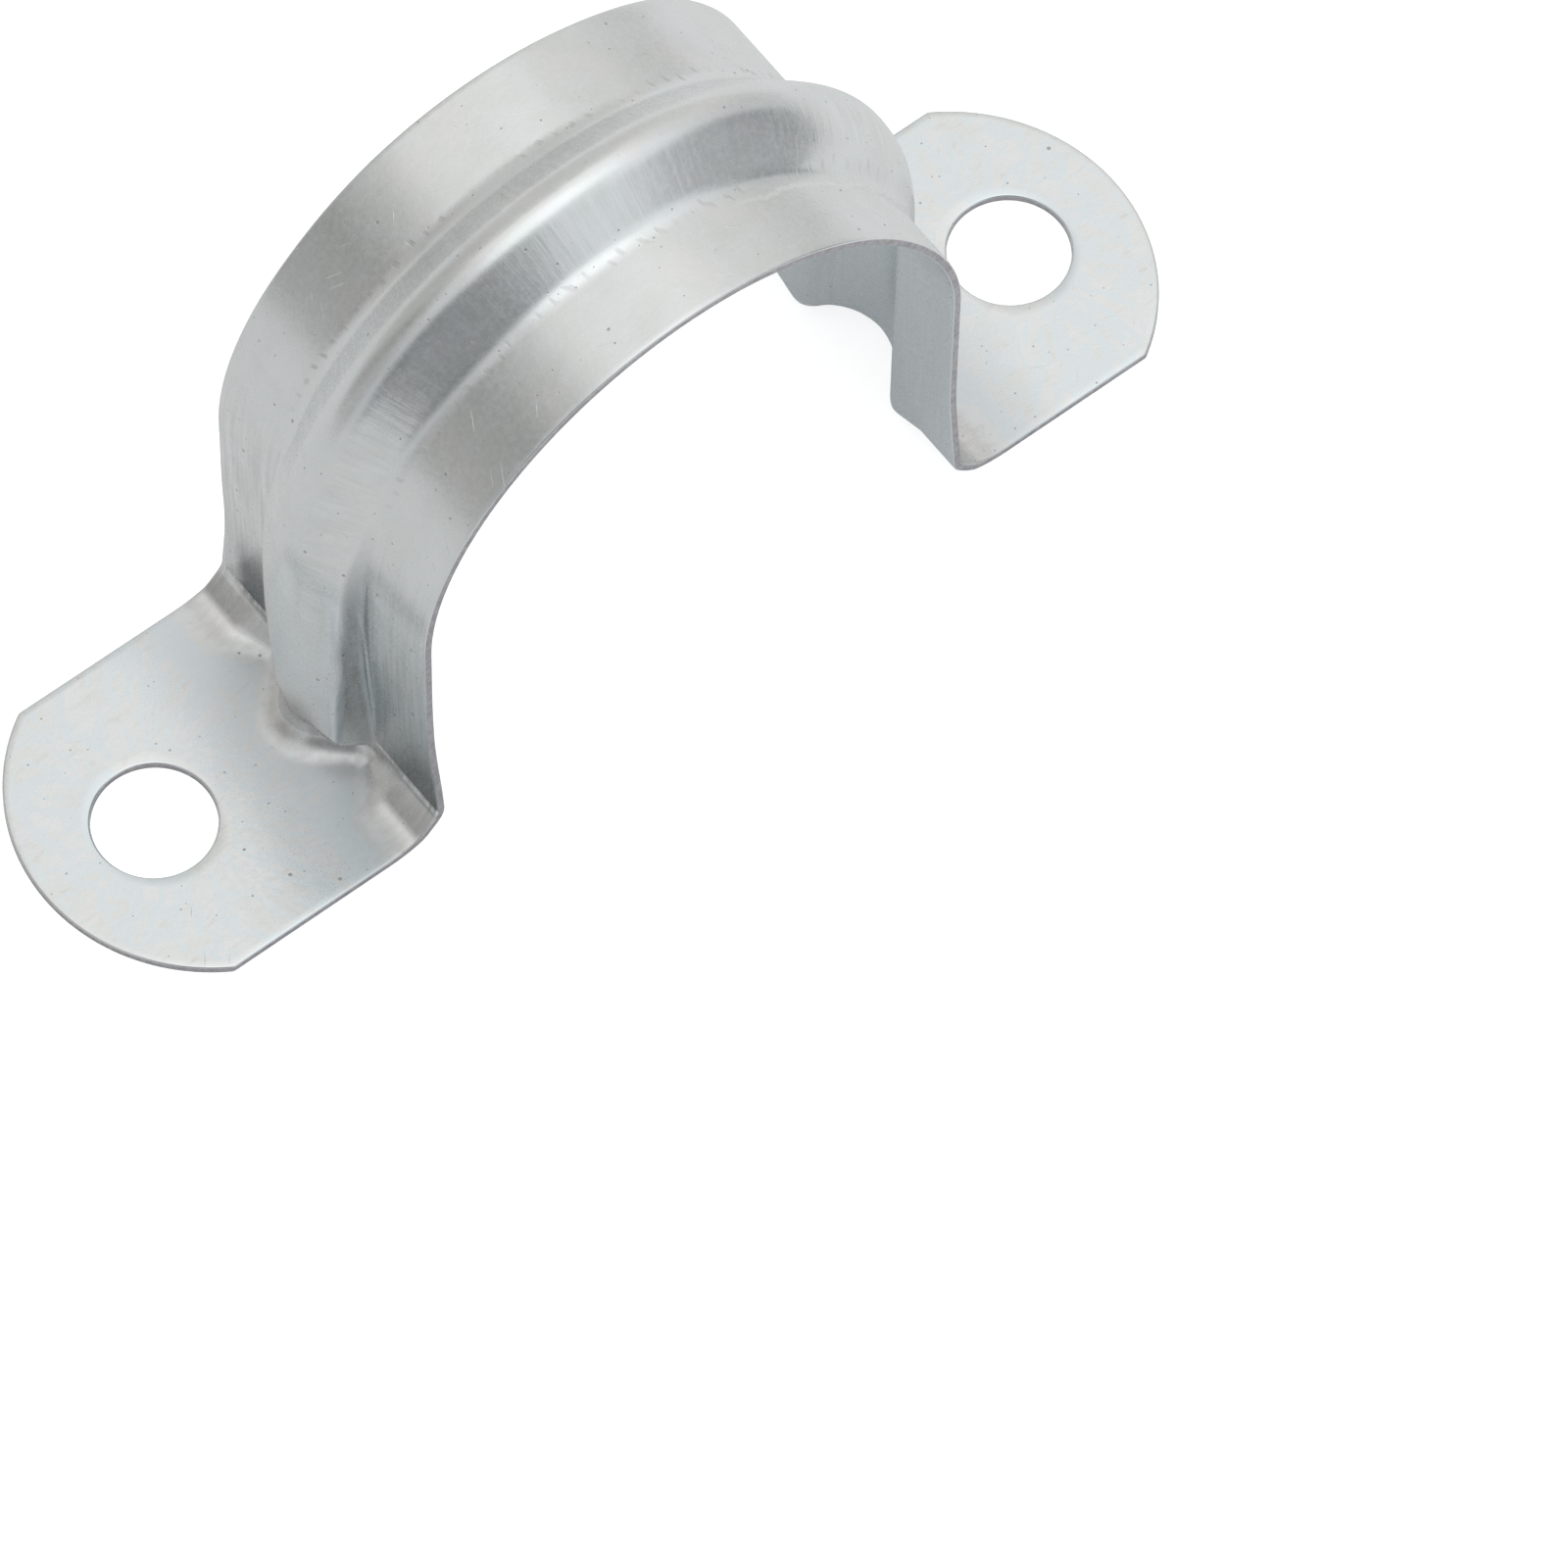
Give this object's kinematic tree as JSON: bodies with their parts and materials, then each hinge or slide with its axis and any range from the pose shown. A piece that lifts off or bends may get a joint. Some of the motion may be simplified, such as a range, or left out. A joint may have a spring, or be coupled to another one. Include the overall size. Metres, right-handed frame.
{
  "type": "conduit strap",
  "caption": "Stamped galvanised strap that saddles a round conduit: ribbed arch, upright legs and flat rounded feet with screw holes.",
  "frame": {"origin": "centre of the underside of the two feet, on the wall's face", "axes": "+X from foot to foot along the strap, +Y along the conduit, +Z away from the wall up through the arch"},
  "size_m": [0.0716, 0.019, 0.038],
  "materials": {
    "galvanised_sheet": "zinc-galvanised sheet steel, satin, lightly drawn and speckled"
  },
  "bodies": {
    "root": {"conduit_strap": "galvanised_sheet"}
  },
  "joints": []
}
